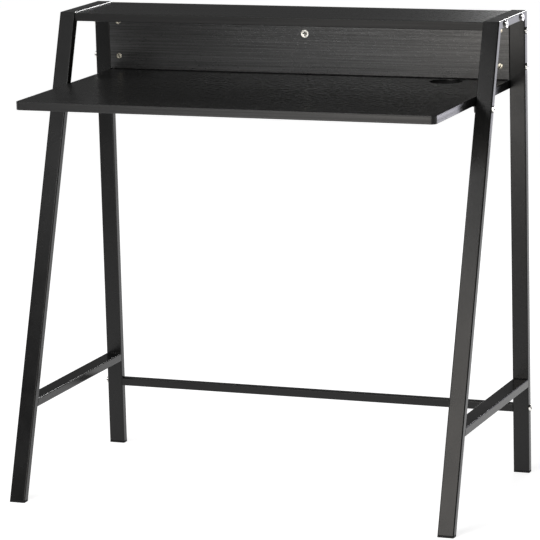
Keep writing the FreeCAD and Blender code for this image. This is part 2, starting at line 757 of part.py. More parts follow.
def panel_screws():
    tip = f"{desktop_underside} + long_screw_length"
    screws = wood_screws("panel_screws", f"(-{long_screw_line})", panel_middle, [
        ("0", desktop_underside), ("long_screw_head / 2", desktop_underside),
        ("long_screw / 2", f"{desktop_underside} + (long_screw_head - long_screw) / 2"),
        ("long_screw / 2", f"{tip} - screw_point"), ("0", tip),
    ])
    repeat_along(screws, "X_Axis", f"2 * {long_screw_line}", count=3)


# Plastic washers round these screws, which keep the panel clear of the desktop

def panel_spacers():
    group = new_part("panel_spacers")
    section = sketch_on(group, "XY_Plane", away=desktop_height)
    draw_circle(section, f"(-{long_screw_line})", panel_middle, "spacer_diameter")
    draw_circle(section, f"(-{long_screw_line})", panel_middle, "long_screw + 2 * screw_clearance")
    extrude(group, "Pad", section, "panel_lift")
    repeat_along(group, "X_Axis", f"2 * {long_screw_line}", count=3)


# Beech dowels between the panel and the shelf

def shelf_dowels():
    group = new_part("shelf_dowels")
    section = sketch_on(group, "XY_Plane", away=f"{shelf_underside} + dowel_in_face - dowel_length")
    draw_circle(section, dowel_line, panel_middle, "dowel_diameter")
    rod = extrude(group, "Pad", section, "dowel_length")
    dress(group, "Chamfer", rod, lambda edge, box: not is_line(edge), "dowel_chamfer")
    mirror_across(group)


# Cam lock: the dowel hangs from the shelf and the turning cam hooks its head

def cam_dowel():
    dowel = new_part("cam_dowel")
    section = sketch_on(dowel, "XZ_Plane", away=f"-{panel_middle}")
    low = f"{cam_height} - cam_dowel_head_height / 2"
    shoulder = f"{cam_height} + cam_dowel_head_height / 2"
    neck_end = f"{cam_height} + cam_diameter / 2 + cam_clearance"
    top = f"{shelf_underside} + cam_dowel_grip"
    draw_outline(section, [
        ("0", low), ("cam_dowel_head / 2", low), ("cam_dowel_head / 2", shoulder),
        ("cam_dowel_neck / 2", shoulder), ("cam_dowel_neck / 2", neck_end),
        ("cam_dowel_shank / 2", neck_end), ("cam_dowel_shank / 2", top), ("0", top),
    ])
    revolve(dowel, "Revolution", section, "V_Axis")


def cam_lock():
    cam = new_part("cam_lock", back=panel_front, up=cam_height)
    disc = sketch_on(cam, "XZ_Plane")
    draw_circle(disc, "0", "0", "cam_diameter")
    blank = extrude(cam, "Pad", disc, "cam_depth", turned=True)
    dress(cam, "Fillet", blank, rings_at("y", "YMin"), "cam_rounding")
    middle = "panel_thickness / 2"
    neck, head = "(cam_dowel_neck / 2 + cam_play)", "(cam_dowel_head / 2 + cam_play)"
    for reach, half, angle in (
        ("(cam_diameter / 2 + overrun)", neck, "cam_slot_angle"),
        ("cam_cavity / 2", f"({head} + cam_play)", "360"),
    ):
        groove = sketch_on(cam, "XY_Plane")
        draw_outline(groove, rectangle("0", f"{middle} - {half}", reach, f"{middle} + {half}"))
        revolve(cam, "Groove", groove, "V_Axis", angle, both_ways=True)
    mouth = sketch_on(cam, "XY_Plane")
    draw_circle(mouth, "0", middle, f"2 * {head}")
    extrude(cam, "Pocket", mouth, "cam_diameter / 2 + overrun")
    recess = sketch_on(cam, "XZ_Plane")
    draw_outline(recess, cross_shape("0", "0", "cam_cross", "cam_cross_width"))
    extrude(cam, "Pocket", recess, "cam_cross_depth")


# The whole desk

for side, sign in (("left", -1), ("right", 1)):
    across = f"{sign} * {frame_middle}"
    side_frame(side, across)
    foot(f"{side}_front_foot", across, leg_front, leg_back, slant, up_the_leg)
    foot(f"{side}_rear_foot", across, lambda height: rear_leg_front, lambda height: rear, "1", upright)
    bracket(f"{side}_bracket", sign)
rear_crossbar()
desktop_board()
desktop_band()
cable_hole_liner()
top_shelf()
back_panel()
board_fasteners()
bracket_fasteners()
panel_screws()
panel_spacers()
shelf_dowels()
cam_dowel()
cam_lock()
doc.recompute()

for item in doc.Objects:
    if {"Invalid", "Error"} & set(item.State):
        raise RuntimeError(f"{item.Label} did not build: {item.State}")
for feature in cuts:
    if feature.Shape.Volume > feature.BaseFeature.Shape.Volume - near:
        raise RuntimeError(f"{feature.Label} in {feature.getParentGeoFeatureGroup().Label} cuts nothing")
for body in parts:
    if body.Shape.isNull() or not body.Shape.isValid():
        raise RuntimeError(f"{body.Label} has no valid shape")

os.makedirs("parts", exist_ok=True)
for body in parts:
    body.Shape.exportStep(f"parts/{body.Label}.step")
    print(body.Label, len(body.Shape.Solids), "solids", round(body.Shape.Volume), "mm3")
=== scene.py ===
import math

import bmesh
import bpy
from mathutils import Matrix, Vector


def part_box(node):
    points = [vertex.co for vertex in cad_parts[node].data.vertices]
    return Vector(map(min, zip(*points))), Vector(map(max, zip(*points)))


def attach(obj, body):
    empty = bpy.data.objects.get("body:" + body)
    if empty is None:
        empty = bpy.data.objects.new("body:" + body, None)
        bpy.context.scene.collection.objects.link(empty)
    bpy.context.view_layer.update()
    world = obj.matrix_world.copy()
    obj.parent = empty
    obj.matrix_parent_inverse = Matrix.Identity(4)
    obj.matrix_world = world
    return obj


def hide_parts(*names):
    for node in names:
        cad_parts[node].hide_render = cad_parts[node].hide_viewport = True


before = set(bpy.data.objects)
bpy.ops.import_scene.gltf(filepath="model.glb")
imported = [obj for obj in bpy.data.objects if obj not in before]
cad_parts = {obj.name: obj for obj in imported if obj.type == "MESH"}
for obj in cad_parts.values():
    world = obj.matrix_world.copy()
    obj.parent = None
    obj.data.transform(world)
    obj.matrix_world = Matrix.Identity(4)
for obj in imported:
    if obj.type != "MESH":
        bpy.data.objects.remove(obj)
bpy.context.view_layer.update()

mm = 0.001
acrossAxis, backAxis, upAxis = Vector((1, 0, 0)), Vector((0, 1, 0)), Vector((0, 0, 1))


# Nodes and colours

def hexColour(code):
    parts = [int(code[place:place + 2], 16) / 255 for place in (1, 3, 5)]
    return [*(part / 12.92 if part <= 0.04045 else ((part + 0.055) / 1.055) ** 2.4 for part in parts), 1]


def setStops(colourRamp, stops):
    # stops are (position, hex colour or plain number)
    while len(colourRamp.elements) < len(stops):
        colourRamp.elements.new(0.5)
    for element, (position, value) in zip(colourRamp.elements, stops):
        element.position = position
        element.color = hexColour(value) if isinstance(value, str) else [value, value, value, 1]


def addNode(tree, kind, settings=None, links=None):
    node = tree.nodes.new(kind)
    for key, value in (settings or {}).items():
        if key == "stops":
            setStops(node.color_ramp, value)
        elif isinstance(key, int) or key in node.inputs:
            node.inputs[key].default_value = value
        else:
            setattr(node, key, value)
    for key, source in (links or {}).items():
        tree.links.new(source, node.inputs[key])
    return node


def startMaterial(name):
    material = bpy.data.materials.new(name)
    material.use_nodes = True
    tree = material.node_tree
    tree.nodes.clear()
    return material, tree, addNode(tree, "ShaderNodeTexCoord").outputs["Object"]


def endMaterial(tree, settings, links):
    surface = addNode(tree, "ShaderNodeBsdfPrincipled", settings, links)
    addNode(tree, "ShaderNodeOutputMaterial", links={"Surface": surface.outputs["BSDF"]})


def grainPattern(tree, place, sizeMm, settings):
    # noise whose grains measure sizeMm along x, y and z
    scale = [1 / (size * mm) for size in sizeMm]
    mapping = addNode(tree, "ShaderNodeMapping", {"Scale": scale}, {"Vector": place})
    noise = addNode(tree, "ShaderNodeTexNoise", {"Scale": 1.0, **settings},
                    {"Vector": mapping.outputs["Vector"]})
    return noise.outputs["Fac"]


lowAngles = {"start": 0.3, "end": 0.85}  # of Layer Weight's Facing: 0 face on, 1 along the surface


def sharpenLow(tree, rough, share):
    # seen at a low angle a coat mirrors more sharply, so its roughness falls to a share there
    facing = addNode(tree, "ShaderNodeLayerWeight", {"Blend": 0.5}).outputs["Facing"]
    factor = addNode(tree, "ShaderNodeMapRange", {
        "From Min": lowAngles["start"], "From Max": lowAngles["end"], "To Min": 1.0, "To Max": share,
    }, {"Value": facing})
    product = addNode(tree, "ShaderNodeMath", {"operation": "MULTIPLY"},
                      {0: rough, 1: factor.outputs["Result"]})
    return product.outputs["Value"]


# In a look, a list holds the stops of a colour or value along the pattern that drives it

# Black polyester powder coat on steel, baked: near black, semi-gloss, with a faint orange peel
powderCoatLook = {
    "ior": 1.38, "lowShare": 0.6, "cloudMm": 60, "peelMm": 1.6, "peelDepthMm": 0.04, "peelStrength": 0.35,
    "colour": [(0.3, "#101010"), (0.7, "#171717")], "roughness": [(0.25, 0.22), (0.75, 0.3)],
}


def makePowderCoat(look):
    material, tree, place = startMaterial("black_powder_coat_on_steel")
    cloud = grainPattern(tree, place, [look["cloudMm"]] * 3, {"Detail": 3.0})
    peel = grainPattern(tree, place, [look["peelMm"]] * 3, {"Detail": 1.0})
    colour = addNode(tree, "ShaderNodeValToRGB", {"stops": look["colour"]}, {"Fac": cloud})
    rough = addNode(tree, "ShaderNodeValToRGB", {"stops": look["roughness"]}, {"Fac": cloud})
    bump = addNode(tree, "ShaderNodeBump", {
        "Strength": look["peelStrength"], "Distance": look["peelDepthMm"] * mm}, {"Height": peel})
    endMaterial(tree, {"IOR": look["ior"]}, {
        "Base Color": colour.outputs["Color"], "Normal": bump.outputs["Normal"],
        "Roughness": sharpenLow(tree, rough.outputs["Color"], look["lowShare"])})
    return material


# Black ash-grain paper foil on chipboard, embossed: dark streaks along the board, and fine pores
# that dull the gloss
ashFoilLook = {
    "ior": 1.56, "lowShare": 0.92, "figureMm": (420, 13, 13), "figureWeight": 0.3, "grainLevel": 0.77,
    "streakMm": (240, 1.9, 1.9),  # drawn wider than real streaks, so that they show
    "poreMm": (8, 1.1, 1.1), "poreDepthMm": 0.12, "poreStrength": 0.3,
    "acrossGrain": 0.6,  # the pores run along the board, so they spread the shine across it
    "colour": [(0.34, "#0b0b0b"), (0.5, "#121212"), (0.68, "#1d1d1c")],
    "roughness": [(0.35, 0.38), (0.65, 0.27)], "shine": [(0.36, 0.56), (0.62, 0.94)],
    "poreSlope": [(0.25, 0.0), (0.75, 1.0)],
}


def makeAshFoil(look):
    material, tree, place = startMaterial("black_ash_foil_on_chipboard")
    figure = grainPattern(tree, place, look["figureMm"], {"Detail": 3.0, "Distortion": 0.6})
    streak = grainPattern(tree, place, look["streakMm"], {"Detail": 4.0, "Roughness": 0.6})
    pore = grainPattern(tree, place, look["poreMm"], {"Detail": 2.0, "Roughness": 0.7})
    blend = addNode(tree, "ShaderNodeMath", {"operation": "MULTIPLY_ADD", 1: look["figureWeight"]},
                    {0: figure, 2: streak})
    grain = addNode(tree, "ShaderNodeMath", {"operation": "MULTIPLY", 1: look["grainLevel"]},
                    {0: blend.outputs["Value"]})
    colour = addNode(tree, "ShaderNodeValToRGB", {"stops": look["colour"]}, {"Fac": grain.outputs["Value"]})
    rough = addNode(tree, "ShaderNodeValToRGB", {"stops": look["roughness"]}, {"Fac": pore})
    shine = addNode(tree, "ShaderNodeValToRGB", {"stops": look["shine"]}, {"Fac": streak})
    slope = addNode(tree, "ShaderNodeValToRGB", {"stops": look["poreSlope"]}, {"Fac": pore})
    bump = addNode(tree, "ShaderNodeBump", {
        "Strength": look["poreStrength"], "Distance": look["poreDepthMm"] * mm,
    }, {"Height": slope.outputs["Color"]})
    normal = addNode(tree, "ShaderNodeNewGeometry").outputs["Normal"]
    across = addNode(tree, "ShaderNodeVectorMath", {"operation": "CROSS_PRODUCT", 1: (1, 0, 0)}, {0: normal})
    endMaterial(tree, {"IOR": look["ior"], "Anisotropic": look["acrossGrain"]}, {
        "Base Color": colour.outputs["Color"], "Specular IOR Level": shine.outputs["Color"],
        "Roughness": sharpenLow(tree, rough.outputs["Color"], look["lowShare"]),
        "Tangent": across.outputs["Vector"], "Normal": bump.outputs["Normal"]})
    return material


# Black ABS edge band, extruded: even colour, satin, with faint drawing lines along its length.
# The one round the desktop is a greyer, shinier copy of the shelf's: painted light, standing in for the
# stronger light on the desktop's front edge.
edgeBandLooks = {
    "black_abs_edge_band_painted_lighter": {
        "shine": 0.37, "colour": [(0.3, "#161616"), (0.7, "#282828")],
        "roughness": [(0.3, 0.42), (0.7, 0.26)]},
    "black_abs_edge_band_plain": {
        "shine": 0.27, "colour": [(0.3, "#141414"), (0.7, "#1d1d1d")],
        "roughness": [(0.3, 0.46), (0.7, 0.34)]},
}
edgeBandLines = {"ior": 1.5, "lineMm": (400, 400, 2.6), "depthMm": 0.12, "strength": 0.4, "lowShare": 0.4}


def makeEdgeBand(name, look, lines):
    material, tree, place = startMaterial(name)
    line = grainPattern(tree, place, lines["lineMm"], {"Detail": 3.0})
    colour = addNode(tree, "ShaderNodeValToRGB", {"stops": look["colour"]}, {"Fac": line})
    rough = addNode(tree, "ShaderNodeValToRGB", {"stops": look["roughness"]}, {"Fac": line})
    bump = addNode(tree, "ShaderNodeBump", {
        "Strength": lines["strength"], "Distance": lines["depthMm"] * mm}, {"Height": line})
    endMaterial(tree, {"IOR": lines["ior"], "Specular IOR Level": look["shine"]}, {
        "Base Color": colour.outputs["Color"], "Normal": bump.outputs["Normal"],
        "Roughness": sharpenLow(tree, rough.outputs["Color"], lines["lowShare"])})
    return material


# Black polypropylene, moulded: deep black, matt from a spark-eroded mould
mouldedLook = {
    "ior": 1.49, "shine": 0.2, "grainMm": 0.9, "depthMm": 0.06, "strength": 0.3,
    "colour": [(0.35, "#0b0b0b"), (0.65, "#141414")], "roughness": [(0.35, 0.62), (0.65, 0.48)],
}


def makeMoulded(look):
    material, tree, place = startMaterial("black_polypropylene_moulded")
    grain = grainPattern(tree, place, [look["grainMm"]] * 3, {"Detail": 2.0})
    colour = addNode(tree, "ShaderNodeValToRGB", {"stops": look["colour"]}, {"Fac": grain})
    rough = addNode(tree, "ShaderNodeValToRGB", {"stops": look["roughness"]}, {"Fac": grain})
    bump = addNode(tree, "ShaderNodeBump", {
        "Strength": look["strength"], "Distance": look["depthMm"] * mm}, {"Height": grain})
    endMaterial(tree, {"IOR": look["ior"], "Specular IOR Level": look["shine"]}, {
        "Base Color": colour.outputs["Color"], "Roughness": rough.outputs["Color"],
        "Normal": bump.outputs["Normal"]})
    return material


# Plated steel: a bright skin, clouded by handling, with painted shade darkening its hollows and recesses, and
# fine scratches that blur what it mirrors
platingLooks = {
    "bright_nickel_plate_on_steel": {
        "colour": [(0.3, "#e0dfdc"), (0.7, "#f4f2ee")], "roughness": [(0.3, 0.3), (0.7, 0.18)],
        "hollowShade": [(0.5, "#b4b2ae"), (0.85, "#ffffff")]},
    "bright_zinc_plate_on_steel": {
        "colour": [(0.3, "#b9b3a2"), (0.7, "#dcd6c6")], "roughness": [(0.3, 0.38), (0.7, 0.2)],
        "hollowShade": [(0.5, "#1c1a17"), (0.85, "#ffffff")]},
    "zinc_alloy_die_cast": {
        "colour": [(0.3, "#e4e1d8"), (0.7, "#f8f5ee")], "roughness": [(0.3, 0.4), (0.7, 0.26)],
        "hollowShade": [(0.5, "#12110f"), (0.85, "#ffffff")]},
}
platingGrain = {"cloudMm": 5, "scratchMm": (6, 0.25, 0.25), "depthMm": 0.015, "strength": 0.2, "hollowMm": 4}


def makePlating(name, look, sizes):
    material, tree, place = startMaterial(name)
    cloud = grainPattern(tree, place, [sizes["cloudMm"]] * 3, {"Detail": 4.0})
    scratch = grainPattern(tree, place, sizes["scratchMm"], {"Detail": 2.0})
    plate = addNode(tree, "ShaderNodeValToRGB", {"stops": look["colour"]}, {"Fac": cloud})
    rough = addNode(tree, "ShaderNodeValToRGB", {"stops": look["roughness"]}, {"Fac": cloud})
    # painted shade: the base colour is darkened where ambient occlusion finds a hollow within hollowMm, most
    # strongly on the zinc and die-cast finishes
    openness = addNode(tree, "ShaderNodeAmbientOcclusion", {
        "Distance": sizes["hollowMm"] * mm, "only_local": True})
    paintedShade = addNode(tree, "ShaderNodeValToRGB", {"stops": look["hollowShade"]}, {"Fac": openness.outputs["AO"]})
    colour = addNode(tree, "ShaderNodeVectorMath", {"operation": "MULTIPLY"},
                     {0: plate.outputs["Color"], 1: paintedShade.outputs["Color"]})
    bump = addNode(tree, "ShaderNodeBump", {
        "Strength": sizes["strength"], "Distance": sizes["depthMm"] * mm}, {"Height": scratch})
    endMaterial(tree, {"Metallic": 1.0}, {
        "Base Color": colour.outputs["Vector"], "Roughness": rough.outputs["Color"],
        "Normal": bump.outputs["Normal"]})
    return material


# Beech, turned and left raw: pale pink-brown with short darker flecks along the dowel
beechLook = {"ior": 1.5, "roughness": 0.62, "fleckMm": (0.9, 0.9, 6), "depthMm": 0.05, "strength": 0.3,
             "colour": [(0.4, "#d8b58c"), (0.62, "#b98d60")]}


def makeBeech(look):
    material, tree, place = startMaterial("raw_beech")
    fleck = grainPattern(tree, place, look["fleckMm"], {"Detail": 3.0})
    colour = addNode(tree, "ShaderNodeValToRGB", {"stops": look["colour"]}, {"Fac": fleck})
    bump = addNode(tree, "ShaderNodeBump", {
        "Strength": look["strength"], "Distance": look["depthMm"] * mm}, {"Height": fleck})
    endMaterial(tree, {"IOR": look["ior"], "Roughness": look["roughness"]}, {
        "Base Color": colour.outputs["Color"], "Normal": bump.outputs["Normal"]})
    return material


powderCoat = makePowderCoat(powderCoatLook)
ashFoil = makeAshFoil(ashFoilLook)
paintedLighterBand, plainBand = (makeEdgeBand(name, look, edgeBandLines) for name, look in edgeBandLooks.items())
moulded = makeMoulded(mouldedLook)
nickel, zinc, dieCast = (makePlating(name, look, platingGrain) for name, look in platingLooks.items())
beech = makeBeech(beechLook)
print("materials ready")


# Mesh helpers: every piece keeps its place in its mesh, and its object sits at the origin

smoothLimit = math.radians(34)  # sharper edges stay crisp


def newPiece(name, points, faces, material):
    mesh = bpy.data.meshes.new(name)
    mesh.from_pydata([tuple(point) for point in points], [], faces)
    shell = bmesh.new()
    shell.from_mesh(mesh)
    bmesh.ops.recalc_face_normals(shell, faces=shell.faces)
    shell.to_mesh(mesh)
    shell.free()
    return finishPiece(name, mesh, material)


def finishPiece(name, mesh, material):
    mesh.polygons.foreach_set("use_smooth", [True] * len(mesh.polygons))
    mesh.set_sharp_from_angle(angle=smoothLimit)
    mesh.materials.clear()
    mesh.materials.append(material)
    piece = bpy.data.objects.new(name, mesh)
    bpy.context.scene.collection.objects.link(piece)
    return piece


def mountPiece(piece, nodes, body="desk"):
    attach(piece, body)
    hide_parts(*nodes)


def roundedSection(wide, deep, corner, steps=6, flatEdge=0.4 * mm):
    # a rectangle about the origin with arcs at its corners, and a point on the flat beside each arc
    points = []
    for number, (signA, signB) in enumerate(((1, -1), (1, 1), (-1, 1), (-1, -1))):
        centre = Vector((signA * (wide / 2 - corner), signB * (deep / 2 - corner)))
        start = math.radians(-90 + 90 * number)
        turns = [start + math.pi / 2 * step / steps for step in range(steps + 1)]
        arc = [centre + corner * Vector((math.cos(turn), math.sin(turn))) for turn in turns]
        before = Vector((math.cos(start + math.pi / 2), math.sin(start + math.pi / 2))) * flatEdge
        after = Vector((math.cos(start + math.pi), math.sin(start + math.pi))) * flatEdge
        points += [arc[0] - before, *arc, arc[-1] + after]
    return [tuple(point) for point in points]


def bridge(count, lower, upper):
    # faces between two closed rings of points, each given by the place of its first point
    return [[lower + place, lower + (place + 1) % count, upper + (place + 1) % count, upper + place]
            for place in range(count)]


def sweep(start, along, sideA, sideB, sections, ends):
    # runs each section along a line between two cut planes; a second section is the bore of a tube
    points, faces = [], []
    for section in sections:
        for planePoint, planeNormal in ends:
            for a, b in section:
                base = start + sideA * a + sideB * b
                points.append(base + along * ((planePoint - base).dot(planeNormal) / along.dot(planeNormal)))
    count = len(sections[0])
    for ring in range(0, len(sections) * 2, 2):
        faces += bridge(count, ring * count, (ring + 1) * count)
    for end in range(2):
        if len(sections) == 1:
            faces.append([end * count + place for place in range(count)])
        else:
            faces += bridge(count, end * count, (end + 2) * count)
    return points, faces


def joinShells(*shells):
    points, faces = [], []
    for shellPoints, shellFaces in shells:
        faces += [[place + len(points) for place in face] for face in shellFaces]
        points += shellPoints
    return points, faces


def ringStack(rings, segments):
    # rings are (x, radius at an angle); the first and last are closed with a face
    points, faces = [], []
    for x, radiusAt in rings:
        for step in range(segments):
            angle = 2 * math.pi * step / segments
            radius = radiusAt(angle)
            points.append(Vector((x, radius * math.cos(angle), radius * math.sin(angle))))
    for ring in range(len(rings) - 1):
        faces += bridge(segments, ring * segments, (ring + 1) * segments)
    faces.append(list(range(segments)))
    faces.append([(len(rings) - 1) * segments + step for step in range(segments)])
    return points, faces


def roundAt(radius):
    return lambda angle: radius


def hexAt(width):
    # a hexagon's edge by its width across flats
    return lambda angle: width / 2 / math.cos((angle + math.pi / 6) % (math.pi / 3) - math.pi / 6)


# Side frames: flat tube, mitred at the top corners, with plastic plugs as feet

frameTubes = {
    "overallDepth": 460 * mm, "overallHeight": 850 * mm, "topBarDepth": 166 * mm,
    "tubeWide": 30 * mm, "tubeDeep": 15 * mm, "tubeCorner": 2 * mm,
    "tubeWall": 1.2 * mm, "boreCorner": 0.8 * mm, "footFlange": 4 * mm,
    "stubGap": 0.2 * mm, "stubWall": 1.6 * mm, "stubLength": 18 * mm, "stubCorner": 0.6 * mm,
}


def frameLines(sizes):
    # the lines and cut planes that both side frames share, in the plane of a frame
    rear, top = sizes["overallDepth"] / 2, sizes["overallHeight"]
    lean = (sizes["overallDepth"] - sizes["topBarDepth"]) / top
    along = Vector((0, lean, 1)).normalized()
    inward = Vector((0, 1, -lean)).normalized()
    frontCorner = Vector((0, rear - sizes["topBarDepth"], top))
    legBack = Vector((0, -rear, 0)) + inward * sizes["tubeDeep"]
    innerHeight = top - sizes["tubeDeep"]
    frontInner = legBack + along * ((innerHeight - legBack.z) / along.z)
    return {
        "along": along, "inward": inward, "legFoot": Vector((0, -rear, 0)) + inward * sizes["tubeDeep"] / 2,
        "legBack": (legBack, inward),
        "frontMitre": (frontCorner, acrossAxis.cross(frontInner - frontCorner).normalized()),
        "rearMitre": (Vector((0, rear, top)), acrossAxis.cross(Vector((0, 1, 1))).normalized()),
        "rearLegMiddle": Vector((0, rear - sizes["tubeDeep"] / 2, 0)),
        "rearLegFront": (Vector((0, rear - sizes["tubeDeep"], 0)), backAxis),
        "barMiddle": Vector((0, 0, top - sizes["tubeDeep"] / 2)),
        "floor": (Vector(), upAxis), "flangeTop": (Vector((0, 0, sizes["footFlange"])), upAxis),
        "stubTop": (Vector((0, 0, sizes["footFlange"] + sizes["stubLength"])), upAxis),
    }


def buildSideFrame(side, sizes, lines):
    low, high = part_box(f"{side}_rear_leg")
    across = Vector(((low.x + high.x) / 2, 0, 0))
    low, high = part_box(f"{side}_side_stretcher")
    stretcherMiddle = Vector((0, 0, (low.z + high.z) / 2))
    wide, deep, wall = sizes["tubeWide"], sizes["tubeDeep"], sizes["tubeWall"]
    outside = roundedSection(wide, deep, sizes["tubeCorner"])
    bore = roundedSection(wide - 2 * wall, deep - 2 * wall, sizes["boreCorner"])
    tubes = {
        "front_leg": (lines["legFoot"], lines["along"], lines["inward"], ("flangeTop", "frontMitre")),
        "rear_leg": (lines["rearLegMiddle"], upAxis, backAxis, ("flangeTop", "rearMitre")),
        "top_bar": (lines["barMiddle"], backAxis, upAxis, ("frontMitre", "rearMitre")),
        "side_stretcher": (stretcherMiddle, backAxis, upAxis, ("legBack", "rearLegFront")),
    }
    for name, (start, along, sideB, ends) in tubes.items():
        shell = sweep(start + across, along, acrossAxis, sideB, [outside, bore], [lines[end] for end in ends])
        mountPiece(newPiece(f"{side}_{name}_tube", *shell, powderCoat), [f"{side}_{name}"])
    inset = wall + sizes["stubGap"]
    stub = roundedSection(wide - 2 * inset, deep - 2 * inset, sizes["stubCorner"])
    cup = roundedSection(wide - 2 * (inset + sizes["stubWall"]), deep - 2 * (inset + sizes["stubWall"]),
                         sizes["stubCorner"])
    for name in ("front_leg", "rear_leg"):
        start, along, sideB = tubes[name][:3]
        frameOf = (start + across, along, acrossAxis, sideB)
        flange = sweep(*frameOf, [outside], [lines["floor"], lines["flangeTop"]])
        plug = sweep(*frameOf, [stub, cup], [lines["flangeTop"], lines["stubTop"]])
        node = f"{side}_{name.split('_')[0]}_foot"
        mountPiece(newPiece(f"{node}_plug", *joinShells(flange, plug), moulded), [node])


frameShape = frameLines(frameTubes)
for side in ("left", "right"):
    buildSideFrame(side, frameTubes, frameShape)
print("side frames built")

# Rear crossbar: square tube between the rear legs
crossbarTube = {"corner": 1.5 * mm, "wall": 1 * mm, "boreCorner": 0.6 * mm}
low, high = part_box("rear_crossbar")
square = high.z - low.z
inner = square - 2 * crossbarTube["wall"]
crossbarShell = sweep(
    (low + high) / 2, acrossAxis, backAxis, upAxis,
    [roundedSection(square, square, crossbarTube["corner"]),
     roundedSection(inner, inner, crossbarTube["boreCorner"])],
    [(low, acrossAxis), (high, acrossAxis)])
mountPiece(newPiece("rear_crossbar_tube", *crossbarShell, powderCoat), ["rear_crossbar"])


# Edge bands: a strip round the desktop, and one along each long edge of the shelf

bandShape = {"thickness": 1 * mm, "rounding": 0.9 * mm, "corner": 9 * mm, "arcSteps": 12, "edgeSteps": 4,
             "flatEdge": 0.3 * mm}


def bandProfile(height, shape):
    # (inset from the outer face, height) up the outer side of a band, with both rims rounded
    rounding, steps = shape["rounding"], shape["edgeSteps"]
    arc = [(rounding * (1 - math.sin(angle)), rounding * (1 - math.cos(angle)))
           for angle in (math.pi / 2 * step / steps for step in range(steps + 1))]
    side = [*arc, (0, rounding + shape["flatEdge"])]
    return [(shape["thickness"], 0), *side, *[(inset, height - rise) for inset, rise in reversed(side)],
            (shape["thickness"], height)]


def desktopBand(shape):
    low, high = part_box("desktop_edge_band")
    corner, steps = shape["corner"], shape["arcSteps"]
    columns = []  # each is a point of the outline with its outward direction
    for centreX, start in ((low.x + corner, 180), (high.x - corner, 270)):
        centre = Vector((centreX, low.y + corner, low.z))
        turns = [math.radians(start + 90 * step / steps) for step in range(steps + 1)]
        outwards = [Vector((math.cos(turn), math.sin(turn), 0)) for turn in turns]
        arc = [(centre + out * corner, out) for out in outwards]
        lead = Vector((-outwards[0].y, outwards[0].x, 0)) * shape["flatEdge"]
        trail = Vector((-outwards[-1].y, outwards[-1].x, 0)) * shape["flatEdge"]
        columns += [(arc[0][0] - lead, outwards[0]), *arc, (arc[-1][0] + trail, outwards[-1])]
    for x, outward in ((high.x, 1), (low.x, -1)):
        columns.append((Vector((x, high.y, low.z)), Vector((outward, 1, 0))))
    profile = bandProfile(high.z - low.z, shape)
    points = [spot - out * inset + upAxis * rise for spot, out in columns for inset, rise in profile]
    count, faces = len(profile), []
    for column in range(len(columns)):
        faces += bridge(count, column * count, (column + 1) % len(columns) * count)
    return newPiece("desktop_edge_strip", points, faces, paintedLighterBand)


mountPiece(desktopBand(bandShape), ["desktop_edge_band"])
for name, outer in (("shelf_front_band", -1), ("shelf_rear_band", 1)):
    low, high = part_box(name)
    face = low.y if outer < 0 else high.y
    section = [(-outer * inset, rise) for inset, rise in bandProfile(high.z - low.z, bandShape)]
    strip = sweep(Vector((0, face, low.z)), acrossAxis, backAxis, upAxis, [section],
                  [(low, acrossAxis), (high, acrossAxis)])
    mountPiece(newPiece(name.replace("band", "strip"), *strip, plainBand), [name])
print("edge bands built")


# Fasteners: one of each is shaped here, and a node tree sets copies of it in place

boltShape = {
    "shank": 6 * mm, "tip": 0.8 * mm, "pitch": 1 * mm, "threadDepth": 0.35 * mm,
    "rootShares": (0.4, 0.6),  # where the thread's root starts and ends along the pitch
    "head": 12.5 * mm, "headHeight": 3.3 * mm, "rim": 0.8 * mm, "flatTop": 12.1 * mm, "brokenEdge": 0.2 * mm,
    "socket": 4 * mm, "socketMouth": 4.4 * mm, "socketDepth": 2 * mm, "segments": 36, "domeSteps": 7,
}


def boltShell(shape, length):
    # the head stands on x = 0 towards +x, the shank runs towards -x
    shank, head, rise = shape["shank"] / 2, shape["head"] / 2, shape["headHeight"]
    rim, edge, flatTop = shape["rim"], shape["brokenEdge"], shape["flatTop"] / 2
    root = roundAt(shank - shape["threadDepth"])
    rings = [(-length, roundAt(shank - shape["tip"])), (-length + shape["tip"], roundAt(shank))]
    x = -length + shape["tip"]
    while x + shape["pitch"] < -shape["pitch"]:
        rings += [(x + shape["pitch"] * share, root) for share in shape["rootShares"]]
        x += shape["pitch"]
        rings.append((x, roundAt(shank)))
    rings += [(0, roundAt(shank)), (0, roundAt(head - edge)), (edge, roundAt(head)), (rim, roundAt(head))]
    for step in range(1, shape["domeSteps"] + 1):
        turn = math.pi / 2 * step / shape["domeSteps"]
        radius = flatTop + (head - flatTop) * math.cos(turn)
        rings.append((rim + (rise - rim) * math.sin(turn), roundAt(radius)))
    rings += [(rise, hexAt(shape["socketMouth"])), (rise - edge, hexAt(shape["socket"])),
              (rise - shape["socketDepth"], hexAt(shape["socket"]))]
    return ringStack(rings, shape["segments"])


def startTree(name, inputs):
    # a node tree that takes geometry and the named inputs, with the keys under which a modifier holds them
    tree = bpy.data.node_groups.new(name, "GeometryNodeTree")
    tree.interface.new_socket("Geometry", in_out="INPUT", socket_type="NodeSocketGeometry")
    keys = {}
    for label, kind in inputs.items():
        keys[label] = tree.interface.new_socket(label, in_out="INPUT", socket_type=kind).identifier
    tree.interface.new_socket("Geometry", in_out="OUTPUT", socket_type="NodeSocketGeometry")
    return tree, keys, addNode(tree, "NodeGroupInput").outputs


def endTree(tree, copies, material):
    # turns the copies into one mesh with its finish
    solid = addNode(tree, "GeometryNodeRealizeInstances", links={"Geometry": copies.outputs["Instances"]})
    finish = addNode(tree, "GeometryNodeSetMaterial", links={
        "Geometry": solid.outputs["Geometry"], "Material": material})
    addNode(tree, "NodeGroupOutput", links={"Geometry": finish.outputs["Geometry"]})


